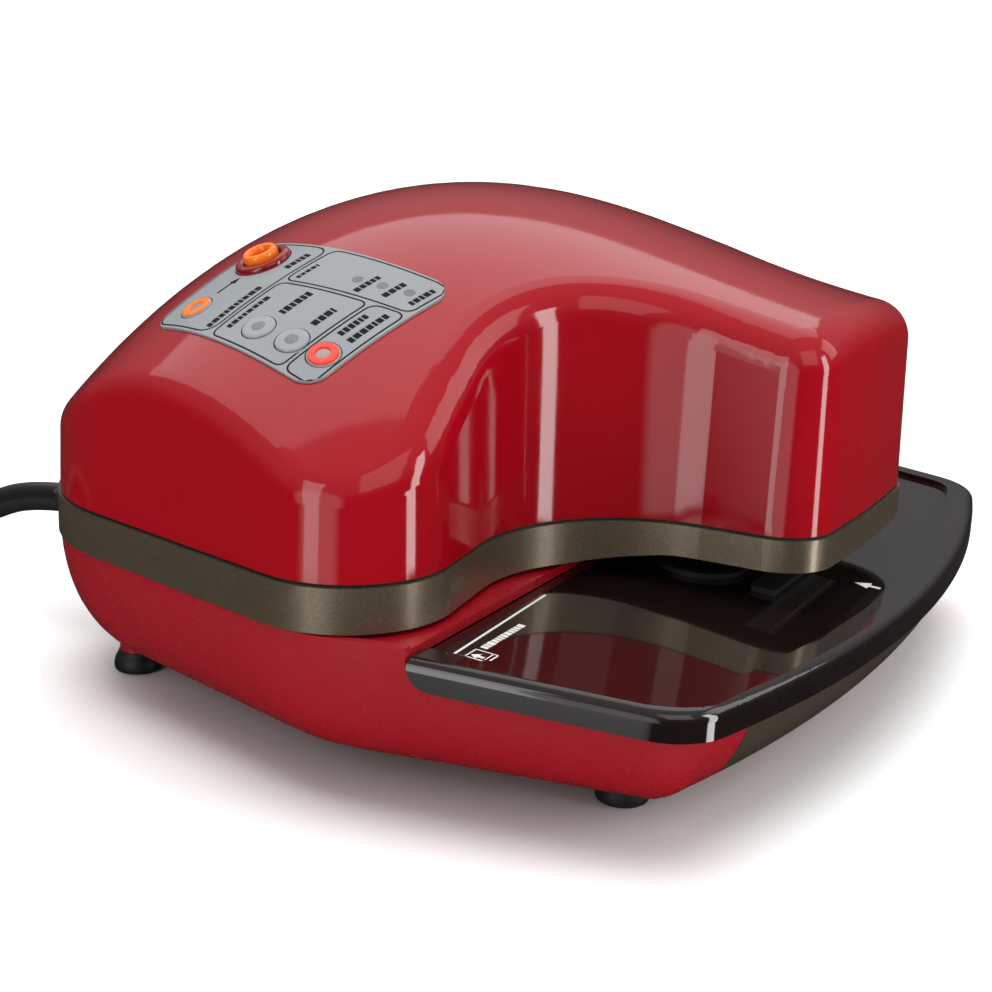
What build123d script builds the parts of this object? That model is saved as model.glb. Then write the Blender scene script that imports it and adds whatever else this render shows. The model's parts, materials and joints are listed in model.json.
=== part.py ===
from build123d import *
import math
import os

# Countertop vacuum sealer: a T-shaped head on a low housing, with a bag tray under its nose.
# Millimetres. X is to the right, -Y is the front, +Z is up. The origin is on the surface
# that the feet stand on, in the middle of the body.

# ---------------------------------------------------------------- driving dimensions
rear_y = 124.5                # back of the body
rear_half_width = 116.3       # where the back line meets the splayed wing ends
rear_corner_radius = 61.5
wing_half_width = 159.2       # where the wing ends meet the wings' front line
wing_front_y = -36.5
wing_corner_radius = 28.7
nose_root_half_width = 44.3
nose_root_y = -20.8
nose_root_radius = 42.6
nose_half_width = 45.9
nose_front_y = -104.2
nose_corner_radius = 15.0
nose_bulge = 1.7
nose_bulge_radius = 300.0

crown_radius = 227.0          # arch of the head from side to side
crown_profile = [(-122, 121.8), (-75, 127.5), (-30, 138.3), (10, 147.0), (45, 147.9), (80, 137.4), (108, 116.5),
                 (132, 93)]   # y, z along the middle of the head
head_rounding = 12.0          # edge between the head's sides and its crown
head_draft = 1.6              # degrees
head_wall = 2.6

seam_z = 62.1                 # top edge of the trim band, at y = 0
seam_slope = 0.02             # the band rises this much for each millimetre forward
band_height = 12.1            # at the wings
nose_band_height = 9.2        # at the nose, where the mouth opens
band_step_y = (-36.0, -62.0)  # the band narrows between these two places
band_wall = 3.0
band_proud = 0.5              # the band stands this far outside the shell's foot
gasket_height = 0.8
gasket_inset = 0.9

tray_rear_y = -34.5
tray_rear_z = 47.8
tray_slope = 0.054            # the tray falls this much for each millimetre forward
tray_side_height = 8.0
tray_wall = 2.6
tray_rim_width = 9.0
tray_dish_depth = 1.4
tray_rear_corner = 7.0        # the side's lower rear corner
front_half_width = 130.3      # where the housing's sides meet its front line
front_side_y = -105.8
front_middle_y = -140.2       # where the two front lines meet, before the arc that joins them
front_arc_radius = 450.0
front_corner_radius = 20.0
flank_half_width = 150.2      # widest corner of the housing
flank_y = -3.0
flank_radius = 60.0

belly_z = 9.5                 # underside of the housing
housing_top_z = 58.0
housing_wall = 2.6
belly_sections = [(58.0, 0.0), (44.0, 0.4), (30.0, 3.6), (18.3, 11.0), (11.9, 20.5), (9.5, 30.0)]  # z, inset
seam_gap = 0.4                # every fixed seam between covers
slide_gap = 0.6               # round the drawer and the buttons

foot_x = 93.2
foot_rear_y = 94.0
foot_front_y = -72.6
foot_radius = 7.5
foot_height = 6.6
foot_neck_radius = 4.6
foot_stud_radius = 2.0
foot_stud_length = 4.0
foot_post_radius = 5.6
foot_post_length = 12.0

base_plate_y = 30.0
base_plate_width = 150.0
base_plate_length = 100.0
base_plate_thickness = 1.3
base_ledge = 8.0
base_screw_places = [(x, y) for x in (-70.0, 70.0) for y in (-15.0, 75.0)]
screw_head_radius = 3.2
screw_head_height = 1.4
screw_shank_radius = 1.5

drawer_half_width = 104.0
drawer_bottom_z = 12.3
drawer_corner_radius = 17.0
drawer_reach = 88.0           # the drawer front's recess starts this far forward of the middle
drawer_top_gap = 1.6          # dark line between the tray's edge and the drawer front
drawer_back_y = -14.0
drawer_box_wall = 1.8
drawer_box_half_width = 78.0
drawer_floor_z = 14.4
drawer_box_top_z = 30.0
drawer_front_wall = 3.0
rail_width = 5.0
rail_length = 60.0
rail_places = [(-40.0, -50.0), (40.0, -50.0)]

shelf_top_z = 49.3            # ledge behind the tray, under the band
shelf_thickness = 2.6
shelf_depth = 20.0
tray_proud = 0.2              # the tray's side stands this far outside the housing
tray_edge_rounding = 3.2
cup_y = -62.0
cup_length = 58.0
cup_width = 16.0
cup_depth = 9.0
gasket_lip = 1.6              # height of the seals that stand on the tray

cover_back_y = -36.0
cover_thickness = 2.4
hood_height = 14.0
hood_mid_z = 66.5
hose_bore_radius = 2.6
plunger_half_width = 30.0
plunger_depth = 9.0
plunger_height = 22.0
plunger_y = -86.0
plunger_travel_room = 1.0
strip_height = 0.5
screw_radius = 3.5
screw_neck_radius = 2.0
bridge_z = 98.0
drive_motor_radius = 11.0
drive_motor_height = 14.0

chassis_z = 33.0
chassis_thickness = 3.0
chassis_inset = 11.0
chassis_front_y = -26.0
chassis_post_radius = 5.0
chassis_post_places = [(x, y) for x, y in ((-104.0, 8.0), (104.0, 8.0), (-66.0, 88.0), (66.0, 88.0))]
motor_middle_x = -40.0
motor_y = 62.0
motor_z = 60.0
motor_radius = 18.0
motor_length = 56.0
shaft_radius = 2.0
fan_blades = 8
pump_head_length = 40.0
pump_head_height = 48.0
power_board_x = 86.0
power_board_y = 52.0

panel_x = -100.0              # middle of the control panel, on the left wing
panel_y = 31.0
panel_turn = -14.5            # degrees, in line with the wing's end
panel_width = 49.0
panel_length = 66.0
panel_corner_radius = 7.0
panel_corners = [(-25.0, -33.8), (29.6, -34.0), (18.6, 35.4), (-25.2, 35.8)]   # it widens towards the front
panel_thickness = 0.7
button_radius = 4.7
button_travel = 1.0
button_height = 0.7
button_stem_radius = 2.2
button_places = {"flexi_tube_button": (-16.0, 24.2), "moist_button": (-16.1, -4.4), "dry_button": (-15.1, -16.7),
                 "stop_button": (-14.0, -27.6)}
port_place = (8.9, 24.0)
port_collar_radius = 8.3
port_collar_height = 2.3
port_ring_radius = 5.2
port_ring_height = 4.3
port_bore = 5.6
lens_radius = 1.7
lens_places = [(14.2, -11.0), (16.3, -18.5), (18.8, -26.2)]
board_depth = 12.5            # the board lies this far under the panel's middle
board_places = [(-20.5, 8.5), (0.0, -29.5), (21.0, 29.5), (21.5, -2.0)]     # its bosses
board_thickness = 1.6
board_boss_radius = 2.4
switch_size = 6.0
switch_height = 3.5

cord_tube_radius = 3.4        # the plain tube that stands for the flat twin cord
cord_exit = (-64.0, 39.0)     # x and z where it leaves the back
gland_radius = 6.2
gland_tip_radius = 5.2
gland_start_y = 115.4
gland_end_y = 150.0
coil_radius = 54.0            # middle of the coil's turns
coil_half_band = 10.5
coil_height = 12.0
coil_centre = (-118.0, 287.0)
coil_stub = 44.0              # straight ends where the cord enters and leaves the turns
plug_width = 25.0
plug_height = 15.0
plug_length = 36.0


# ---------------------------------------------------------------- shared shapes
def mirrored(corners, middle):
    """Corners (x, y, radius) of the left side from back to front, then the middle one, then the right side."""
    right = [(-x, y, r) for x, y, r in reversed(corners)]
    return corners + [middle] + right


head_corners = mirrored(
    [(-rear_half_width, rear_y, rear_corner_radius),
     (-wing_half_width, wing_front_y, wing_corner_radius),
     (-nose_root_half_width, nose_root_y, nose_root_radius),
     (-nose_half_width, nose_front_y, nose_corner_radius)],
    (0.0, nose_front_y - nose_bulge, nose_bulge_radius))

base_corners = mirrored(
    [(-rear_half_width, rear_y, rear_corner_radius),
     (-flank_half_width, flank_y, flank_radius),
     (-front_half_width, front_side_y, front_corner_radius)],
    (0.0, front_middle_y, front_arc_radius))


def drawn_in(corners, inset):
    """The same outline with every side moved inward by inset, its wide arcs kept inside what room is left."""
    count = len(corners)
    moved = []
    for i in range(count):
        before, here, after = (Vector(*corners[(i + step) % count][:2]) for step in (-1, 0, 1))
        along, onward = (here - before).normalized(), (after - here).normalized()
        turn = along.X * onward.Y - along.Y * onward.X
        point = here + (onward - along) * (inset / turn)
        radius = corners[i][2] + inset if turn < 0 else max(corners[i][2] - inset, 3.0)
        moved.append([point.X, point.Y, radius, math.tan(math.radians(along.get_angle(onward)) / 2)])
    for i in sorted(range(count), key=lambda k: moved[k][2]):
        for j in ((i - 1) % count, (i + 1) % count):
            side = math.hypot(moved[i][0] - moved[j][0], moved[i][1] - moved[j][1])
            if moved[j][2] < moved[i][2]:
                room = side - moved[j][2] * moved[j][3]
                moved[i][2] = min(moved[i][2], 0.98 * room / moved[i][3])
    return [(x, y, radius) for x, y, radius, _ in moved]


def outline(corners):
    """A closed face with a rounded corner at each (x, y, radius)."""
    with BuildSketch(Plane.XY) as face:
        with BuildLine():
            FilletPolyline(*[(x, y) for x, y, _ in corners], radius=[r for _, _, r in corners], close=True)
        make_face()
    return face.sketch_local


def seam(y, below=0.0):
    return seam_z - below - seam_slope * y


def tray_z(y):
    return tray_rear_z + tray_slope * (y - tray_rear_y)


def band_foot_points(lower=0.0):
    """Lower edge of the band in the YZ plane, from the back to the front."""
    step_start, step_end = band_step_y
    return [(rear_y + 20, seam(rear_y + 20, band_height + lower)),
            (step_start, seam(step_start, band_height + lower)),
            (step_end, seam(step_end, nose_band_height + lower)),
            (nose_front_y - 40, seam(nose_front_y - 40, nose_band_height + lower))]


def side_prism(corners, half_width=200.0):
    """A YZ outline of (y, z, radius) corners, drawn out to both sides of the middle."""
    with BuildPart() as prism:
        with BuildSketch(Plane.YZ):
            add(outline(corners))
        extrude(amount=half_width, both=True)
    return prism.part


def below_band(lower=0.0):
    """Everything under the band's lower edge."""
    foot = band_foot_points(lower)
    radii = [0, 30, 30, 0]
    corners = [(y, z, r) for (y, z), r in zip(foot, radii)]
    return side_prism(corners + [(foot[-1][0], -20, 0), (foot[0][0], -20, 0)])


def seam_side(lift, far_z):
    """Everything on one side of the band's top edge, as far as far_z."""
    back, front = rear_y + 20, nose_front_y - 40
    return side_prism([(back, seam(back) + lift, 0), (front, seam(front) + lift, 0), (front, far_z, 0),
                       (back, far_z, 0)])


def below_seam(lift):
    return seam_side(lift, -20)


def above_seam(lift):
    return seam_side(lift, 220)


crown_axis_z = max(z for _, z in crown_profile) - crown_radius


def crown_solid(raised):
    """Everything under the crown: its profile turned about a line along Y, far below the head."""
    down = 2 * crown_axis_z       # drawn below the axis, so that the turn's seam isn't on the crown
    points = [(y, down - (z + raised)) for y, z in crown_profile]
    core = crown_axis_z - 25
    with BuildPart() as crown:
        with BuildSketch(Plane.YZ):
            with BuildLine():
                Spline(*points)
                Polyline(points[-1], (points[-1][0], core), (points[0][0], core), points[0])
            make_face()
        revolve(axis=Axis((0, 0, crown_axis_z), (0, 1, 0)))
    return crown.part


def head_form(inset, rounding):
    """The head as one solid, drawn in by inset on every side and under its crown."""
    with BuildPart() as form:
        with BuildSketch(Plane.XY.offset(seam_z - band_height)):
            add(outline(drawn_in(head_corners, inset)))
        extrude(amount=110, taper=head_draft)
        add(crown_solid(-inset), mode=Mode.INTERSECT)
        top = form.faces().sort_by(Axis.Z)[-1]
        fillet(top.edges(), rounding)
    return form.part


def belly_form(inset, floor_lift):
    """The lower housing as one solid, drawn in by inset, its underside higher by floor_lift."""
    lowest, highest = belly_sections[-1][0], belly_sections[0][0]
    squeeze = (highest - lowest - floor_lift) / (highest - lowest)
    with BuildPart() as form:
        for z, section_inset in belly_sections:
            with BuildSketch(Plane.XY.offset(highest - (highest - z) * squeeze)):
                add(outline(drawn_in(base_corners, inset + section_inset)))
        loft()
    return form.part


os.makedirs("parts", exist_ok=True)
made = []


def finish_piece(part, name):
    part.label = name
    export_step(part, f"parts/{name}.step")
    made.append(name)


# ---------------------------------------------------------------- control panel's own frame
crown_here = max(z for _, z in crown_profile) - 0.1 - crown_axis_z      # crown's radius at panel_y
panel_z = crown_axis_z + math.sqrt(crown_here**2 - panel_x**2)
panel_normal = Vector(panel_x, 0, panel_z - crown_axis_z).normalized()
turned = Vector(math.cos(math.radians(panel_turn)), math.sin(math.radians(panel_turn)), 0)
panel_across = (turned - panel_normal * turned.dot(panel_normal)).normalized()
panel_plane = Plane(origin=(panel_x, panel_y, panel_z), x_dir=panel_across, z_dir=panel_normal)


def crown_point(place):
    """Where the head's surface lies under a place on the panel, and its normal there."""
    start = panel_plane.from_local_coords((place[0], place[1], 0))
    hits = outer_head.find_intersection_points(Axis(start, panel_normal))
    return min(hits, key=lambda hit: (hit[0] - start).length)


def panel_at(place, height):
    """Plane square to the head's surface at a place on the panel, height above that surface."""
    point, normal = crown_point(place)
    across = (panel_across - normal * panel_across.dot(normal)).normalized()
    return Plane(origin=point + normal * height, x_dir=across, z_dir=normal)


# ---------------------------------------------------------------- head
outer_head = head_form(0.0, head_rounding)
inner_head = head_form(head_wall, head_rounding - head_wall)

with BuildPart() as board_bosses:
    with BuildSketch(panel_plane.offset(-board_depth)):
        with Locations(*board_places):
            Circle(board_boss_radius)
    extrude(amount=board_depth)
    add(head_form(1.0, head_rounding), mode=Mode.INTERSECT)

with BuildPart() as head_shell:
    add(outer_head)
    add(inner_head, mode=Mode.SUBTRACT)
    add(below_seam(gasket_height), mode=Mode.SUBTRACT)
    add(board_bosses.part)
    for place in button_places.values():
        with BuildSketch(panel_at(place, -6)):
            Circle(button_radius + slide_gap / 2)
        extrude(amount=12, mode=Mode.SUBTRACT)
    with BuildSketch(panel_at(port_place, -8)):
        Circle(port_ring_radius)
    extrude(amount=16, mode=Mode.SUBTRACT)
    for place in lens_places:
        with BuildSketch(panel_at(place, -6)):
            Circle(lens_radius)
        extrude(amount=12, mode=Mode.SUBTRACT)
finish_piece(head_shell.part, "head_shell")

with BuildPart() as shell_gasket:
    with BuildSketch(Plane.XY.offset(40)):
        add(outline(drawn_in(head_corners, gasket_inset)))
        add(outline(drawn_in(head_corners, band_wall)), mode=Mode.SUBTRACT)
    extrude(amount=60)
    add(below_seam(0.0), mode=Mode.SUBTRACT)
    add(above_seam(gasket_height), mode=Mode.SUBTRACT)
finish_piece(shell_gasket.part, "shell_gasket")

with BuildPart() as trim_band:
    with BuildSketch(Plane.XY.offset(30)):
        add(outline(drawn_in(head_corners, -band_proud)))
        add(outline(drawn_in(head_corners, band_wall)), mode=Mode.SUBTRACT)
    extrude(amount=60)
    add(below_band(), mode=Mode.SUBTRACT)
    add(above_seam(0.0), mode=Mode.SUBTRACT)
finish_piece(trim_band.part, "trim_band")

# ---------------------------------------------------------------- lower housing
far_y = 150.0
housing_outer = belly_form(0.0, 0.0)
housing_inner = belly_form(housing_wall, housing_wall)


def seat_z(y):
    """Where the housing's wall ends under the tray."""
    return tray_z(y) - tray_side_height - seam_gap


def housing_top():
    """Everything above the housing: the band's seat at the back, the tray's seat in front."""
    rear_top = band_height + seam_gap
    return side_prism([(far_y, seam(far_y, rear_top), 0), (tray_rear_y, seam(tray_rear_y, rear_top), 0),
                       (tray_rear_y, seat_z(tray_rear_y), tray_rear_corner), (-far_y, seat_z(-far_y), 0),
                       (-far_y, 220, 0), (far_y, 220, 0)])


def drawer_prism(grow):
    """The drawer front's outline seen from the front, run back through the front wall."""
    half, bottom = drawer_half_width + grow, drawer_bottom_z - grow
    with BuildPart() as prism:
        with BuildSketch(Plane.XZ.offset(drawer_reach)):
            add(outline([(-half, 70, 0), (-half, bottom, drawer_corner_radius), (half, bottom, drawer_corner_radius),
                         (half, 70, 0)]))
        extrude(amount=100)
    return prism.part


def pegs(places, radius, low, high):
    """Upright round pegs at several places."""
    with BuildPart() as group:
        with BuildSketch(Plane.XY.offset(low)):
            with Locations(*places):
                Circle(radius)
        extrude(amount=high - low)
    return group.part


foot_places = [(x, y) for x in (-foot_x, foot_x) for y in (foot_front_y, foot_rear_y)]
foot_post_top = foot_height + foot_post_length
housing_floor_z = belly_z + housing_wall
inner_wall_y = rear_y - housing_wall - 1.0
gland_hole_radius = gland_radius + 0.1

with BuildPart() as shelf:
    with Locations((0, tray_rear_y, shelf_top_z - shelf_thickness)):
        Box(2 * flank_half_width, shelf_depth, shelf_thickness, align=(Align.CENTER, Align.MIN, Align.MIN))
    add(belly_form(1.0, 1.0), mode=Mode.INTERSECT)

with BuildPart() as lower_housing:
    add(housing_outer)
    add(housing_inner, mode=Mode.SUBTRACT)
    add(pegs(foot_places, foot_post_radius, foot_height, foot_post_top))
    add(housing_top(), mode=Mode.SUBTRACT)
    add(drawer_prism(slide_gap), mode=Mode.SUBTRACT)
    add(shelf.part)
    with BuildSketch(Plane.XY.offset(belly_z)):
        with Locations((0, base_plate_y)):
            RectangleRounded(base_plate_width + 2 * seam_gap, base_plate_length + 2 * seam_gap, 8)
    extrude(amount=base_plate_thickness, mode=Mode.SUBTRACT)
    with BuildSketch(Plane.XY.offset(belly_z)):
        with Locations((0, base_plate_y)):
            RectangleRounded(base_plate_width - 2 * base_ledge, base_plate_length - 2 * base_ledge, 4)
    extrude(amount=housing_wall + 0.5, mode=Mode.SUBTRACT)
    add(pegs(base_screw_places, screw_shank_radius, belly_z, belly_z + 5), mode=Mode.SUBTRACT)
    add(pegs(chassis_post_places, chassis_post_radius, housing_floor_z - 0.5, chassis_z))
    add(pegs(foot_places, foot_stud_radius, foot_height, foot_height + foot_stud_length), mode=Mode.SUBTRACT)
    with Locations(Pos(cord_exit[0], rear_y, cord_exit[1]) * Rot(90, 0, 0)):
        Cylinder(gland_hole_radius, 20, mode=Mode.SUBTRACT)
    for x, y in rail_places:
        with Locations((x, y, housing_floor_z - 0.5)):
            Box(rail_width, rail_length, drawer_floor_z - seam_gap - housing_floor_z + 0.5,
                align=(Align.CENTER, Align.CENTER, Align.MIN))
finish_piece(lower_housing.part, "lower_housing")

with BuildPart() as base_plate:
    with BuildSketch(Plane.XY.offset(belly_z)):
        with Locations((0, base_plate_y)):
            RectangleRounded(base_plate_width, base_plate_length, 7.6)
            with GridLocations(9, 34, 7, 2):
                SlotOverall(24, 3, rotation=90, mode=Mode.SUBTRACT)
    extrude(amount=base_plate_thickness)
    add(pegs(base_screw_places, screw_shank_radius, belly_z, belly_z + 5), mode=Mode.SUBTRACT)
finish_piece(base_plate.part, "base_plate")

with BuildPart() as base_screws:
    add(pegs(base_screw_places, screw_head_radius, belly_z - screw_head_height, belly_z))
    add(pegs(base_screw_places, screw_shank_radius, belly_z, belly_z + 4.5))
finish_piece(base_screws.part, "base_screws")

with BuildPart() as one_foot:
    with BuildSketch(Plane.XZ):
        with BuildLine():
            Polyline((foot_stud_radius, foot_height + foot_stud_length), (0, foot_height + foot_stud_length), (0, 0),
                     (foot_radius - 0.6, 0), (foot_radius, 0.7), (foot_radius - 0.3, 1.6))
            Spline((foot_radius - 0.3, 1.6), (foot_neck_radius + 0.6, 3.0), (foot_neck_radius, foot_height))
            Polyline((foot_neck_radius, foot_height), (foot_stud_radius, foot_height),
                     (foot_stud_radius, foot_height + foot_stud_length))
        make_face()
    revolve(axis=Axis.Z)
with BuildPart() as rubber_feet:
    with Locations(*foot_places):
        add(one_foot.part)
finish_piece(rubber_feet.part, "rubber_feet")

# ---------------------------------------------------------------- bag tray
tray_plane = Plane(origin=(0, tray_rear_y, tray_rear_z), x_dir=(1, 0, 0), z_dir=(0, -tray_slope, 1))
tray_back_y = tray_rear_y - seam_gap


def tray_slab(top_drop, bottom_drop, back_y, corner):
    """Everything between two depths under the tray's top, in front of back_y."""
    return side_prism([(back_y, tray_z(back_y) - top_drop, 0), (-far_y, tray_z(-far_y) - top_drop, 0),
                       (-far_y, tray_z(-far_y) - bottom_drop, 0), (back_y, tray_z(back_y) - bottom_drop, corner)])


with BuildPart() as tray_dish:
    with BuildSketch(Plane.XY):
        add(outline(drawn_in(base_corners, tray_rim_width)))
    extrude(amount=90)
    add(tray_slab(-5, tray_dish_depth, tray_rear_y + 20, 0), mode=Mode.INTERSECT)

with BuildPart() as tray_hollow:
    with BuildSketch(Plane.XY):
        add(outline(drawn_in(base_corners, tray_wall)))
    extrude(amount=90)
    add(tray_slab(tray_dish_depth + tray_wall, tray_side_height + 5, tray_back_y - tray_wall, 0), mode=Mode.INTERSECT)

with BuildPart() as bag_tray:
    with BuildSketch(Plane.XY):
        add(outline(drawn_in(base_corners, -tray_proud)))
    extrude(amount=90)
    add(tray_slab(0, 30, rear_y, 0), mode=Mode.INTERSECT)
    top = bag_tray.faces().filter_by(lambda f: f.normal_at().Z > 0.9)[0]
    fillet([e for e in top.edges() if e.center().Y < rear_y - 10], tray_edge_rounding)
    add(tray_slab(-5, tray_side_height, tray_back_y, tray_rear_corner - seam_gap), mode=Mode.INTERSECT)
    add(tray_dish.part, mode=Mode.SUBTRACT)
    add(tray_hollow.part, mode=Mode.SUBTRACT)
    with BuildSketch(tray_plane):
        with Locations((0, cup_y - tray_rear_y)):
            SlotOverall(cup_length + 2 * seam_gap, cup_width + 2 * seam_gap)
    extrude(amount=20, both=True, mode=Mode.SUBTRACT)
finish_piece(bag_tray.part, "bag_tray")

dish_plane = tray_plane.offset(-tray_dish_depth + 0.03)
with BuildPart() as drip_cup:
    with BuildSketch(dish_plane):
        with Locations((0, cup_y - tray_rear_y)):
            SlotOverall(cup_length, cup_width)
    extrude(amount=-cup_depth)
    with BuildSketch(dish_plane):
        with Locations((0, cup_y - tray_rear_y)):
            SlotOverall(cup_length - 3, cup_width - 3)
    extrude(amount=-(cup_depth - 1.5), mode=Mode.SUBTRACT)
finish_piece(drip_cup.part, "drip_cup")

with BuildPart() as tray_gasket:
    with BuildSketch(dish_plane):
        with Locations((0, cup_y - tray_rear_y)):
            SlotOverall(cup_length + 12, cup_width + 12)
            SlotOverall(cup_length + 4, cup_width + 4, mode=Mode.SUBTRACT)
    extrude(amount=gasket_lip)
finish_piece(tray_gasket.part, "tray_gasket")

with BuildPart() as seal_pad:
    with BuildSketch(dish_plane):
        with Locations((0, plunger_y - tray_rear_y)):
            RectangleRounded(2 * plunger_half_width + 6, plunger_depth - 1, 1.5)
    extrude(amount=gasket_lip)
finish_piece(seal_pad.part, "seal_pad")

# ---------------------------------------------------------------- drawer
with BuildPart() as drawer_front:
    add(belly_form(0.0, 0.0))
    add(belly_form(drawer_front_wall, drawer_front_wall), mode=Mode.SUBTRACT)
    add(drawer_prism(0.0), mode=Mode.INTERSECT)
    add(side_prism([(-far_y, seat_z(-far_y) - drawer_top_gap, 0), (0, seat_z(0) - drawer_top_gap, 0), (0, 220, 0),
                    (-far_y, 220, 0)]), mode=Mode.SUBTRACT)
finish_piece(drawer_front.part, "drawer_front")


def drawer_block(inset, floor_z):
    """The drawer box's block, cut to the inside of the drawer front."""
    half = drawer_box_half_width - inset
    back_y = drawer_back_y - inset
    with BuildPart() as block:
        with Locations((0, (back_y - far_y) / 2, floor_z)):
            Box(2 * half, far_y + back_y, drawer_box_top_z - floor_z + inset,
                align=(Align.CENTER, Align.CENTER, Align.MIN))
        add(belly_form(drawer_front_wall + inset, drawer_front_wall), mode=Mode.INTERSECT)
    return block.part


with BuildPart() as drawer_box:
    add(drawer_block(0.0, drawer_floor_z))
    add(drawer_block(drawer_box_wall, drawer_floor_z + drawer_box_wall), mode=Mode.SUBTRACT)
finish_piece(drawer_box.part, "drawer_box")

# ---------------------------------------------------------------- nose: cover, plunger and its drive
nose_cover_rise = 1.0         # the cover lies this far above the band's lower edge


def cover_z(y):
    return seam(y, nose_band_height) + nose_cover_rise


with BuildPart() as nose_cover:
    with BuildSketch(Plane.XY.offset(30)):
        add(outline(drawn_in(head_corners, band_wall + seam_gap)))
    extrude(amount=60)
    add(side_prism([(cover_back_y, cover_z(cover_back_y), 0), (-far_y, cover_z(-far_y), 0),
                    (-far_y, cover_z(-far_y) + cover_thickness, 0),
                    (cover_back_y, cover_z(cover_back_y) + cover_thickness, 0)]), mode=Mode.INTERSECT)
    with Locations((0, plunger_y, 55)):
        Box(2 * plunger_half_width + 2 * slide_gap, plunger_depth + 2 * slide_gap, 20, mode=Mode.SUBTRACT)
    with BuildSketch(Plane.XY.offset(40)):
        with Locations((0, cup_y)):
            SlotOverall(cup_length - 6, cup_width - 6)
    extrude(amount=40, mode=Mode.SUBTRACT)
finish_piece(nose_cover.part, "nose_cover")

cover_top = cover_z(plunger_y - 8) + cover_thickness
with BuildPart() as vacuum_hood:
    with BuildSketch(Plane.XY.offset(cover_z(cup_y - cup_width) + cover_thickness + 0.1)):
        with Locations((0, cup_y)):
            SlotOverall(cup_length, cup_width)
    extrude(amount=hood_height)
    with BuildSketch(Plane.XY.offset(cover_z(cup_y - cup_width) + cover_thickness)):
        with Locations((0, cup_y)):
            SlotOverall(cup_length - 4, cup_width - 4)
    extrude(amount=hood_height - 1.9, mode=Mode.SUBTRACT)
    with Locations((0, cup_y + cup_width / 2, hood_mid_z)):
        Cylinder(hose_bore_radius, 16, rotation=(90, 0, 0), mode=Mode.SUBTRACT)
finish_piece(vacuum_hood.part, "vacuum_hood")

plunger_low = cover_z(plunger_y) + 0.6
with BuildPart() as seal_plunger:
    with Locations((0, plunger_y, plunger_low)):
        Box(2 * plunger_half_width, plunger_depth, plunger_height, align=(Align.CENTER, Align.CENTER, Align.MIN))
    with Locations((0, plunger_y, plunger_low + 4)):
        Cylinder(screw_radius + 0.25, plunger_height, align=(Align.CENTER, Align.CENTER, Align.MIN),
                 mode=Mode.SUBTRACT)
finish_piece(seal_plunger.part, "seal_plunger")

with BuildPart() as seal_strip:
    with Locations((0, plunger_y - 1.5, plunger_low - strip_height)):
        Box(2 * plunger_half_width - 2, 3, strip_height, align=(Align.CENTER, Align.CENTER, Align.MIN))
finish_piece(seal_strip.part, "seal_strip")

with BuildPart() as drive_bridge:
    for side in (-1, 1):
        with Locations((side * (plunger_half_width + 5), plunger_y, cover_top + 0.1)):
            Box(4, plunger_depth + 6, bridge_z - cover_top - 0.1, align=(Align.CENTER, Align.CENTER, Align.MIN))
    with Locations((0, plunger_y, bridge_z)):
        Box(2 * plunger_half_width + 14, plunger_depth + 6, 3, align=(Align.CENTER, Align.CENTER, Align.MIN))
        Cylinder(screw_radius + 0.3, 20, mode=Mode.SUBTRACT)
finish_piece(drive_bridge.part, "drive_bridge")

with BuildPart() as drive_motor:
    with Locations((0, plunger_y, bridge_z + 3)):
        Cylinder(drive_motor_radius, drive_motor_height, align=(Align.CENTER, Align.CENTER, Align.MIN))
        Cylinder(screw_neck_radius + 0.3, 12, mode=Mode.SUBTRACT)
finish_piece(drive_motor.part, "drive_motor")

screw_low = plunger_low + 4 + plunger_travel_room
with BuildPart() as drive_screw:
    with Locations((0, plunger_y, screw_low)):
        Cylinder(screw_radius, bridge_z + 3 - screw_low - 0.4, align=(Align.CENTER, Align.CENTER, Align.MIN))
        Cylinder(screw_neck_radius, bridge_z + 3 - screw_low + 5, align=(Align.CENTER, Align.CENTER, Align.MIN))
    with Locations((screw_radius - 0.4, plunger_y, screw_low + 6)):
        Box(1.4, 1.4, 12, mode=Mode.SUBTRACT)
finish_piece(drive_screw.part, "drive_screw")

# ---------------------------------------------------------------- chassis, pump and power
with BuildPart() as chassis:
    with BuildSketch(Plane.XY.offset(chassis_z)):
        add(outline(drawn_in(base_corners, chassis_inset)))
        with Locations((0, chassis_front_y)):
            Rectangle(400, 300, align=(Align.CENTER, Align.MAX), mode=Mode.SUBTRACT)
    extrude(amount=chassis_thickness)
finish_piece(chassis.part, "chassis")

chassis_top = chassis_z + chassis_thickness
with BuildPart() as pump_cradle:
    for x in (motor_middle_x - 18, motor_middle_x + 18):
        with Locations((x, motor_y, chassis_top)):
            Box(8, 2 * motor_radius + 6, motor_z - chassis_top, align=(Align.CENTER, Align.CENTER, Align.MIN))
    with Locations((motor_middle_x, motor_y, chassis_top)):
        Box(44, 2 * motor_radius + 6, 3, align=(Align.CENTER, Align.CENTER, Align.MIN))
    with Locations((motor_middle_x, motor_y, motor_z)):
        Cylinder(motor_radius + 0.2, 80, rotation=(0, 90, 0), mode=Mode.SUBTRACT)
finish_piece(pump_cradle.part, "pump_cradle")

motor_left, motor_right = motor_middle_x - motor_length / 2, motor_middle_x + motor_length / 2
with BuildPart() as pump_motor:
    with Locations((motor_middle_x, motor_y, motor_z)):
        Cylinder(motor_radius, motor_length, rotation=(0, 90, 0))
    with Locations((motor_left, motor_y, motor_z)):
        Cylinder(shaft_radius + 0.3, 24, rotation=(0, 90, 0), mode=Mode.SUBTRACT)
    chamfer(pump_motor.faces().filter_by(GeomType.PLANE).sort_by(Axis.X)[-1].edges(), 1.5)
finish_piece(pump_motor.part, "pump_motor")

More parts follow.
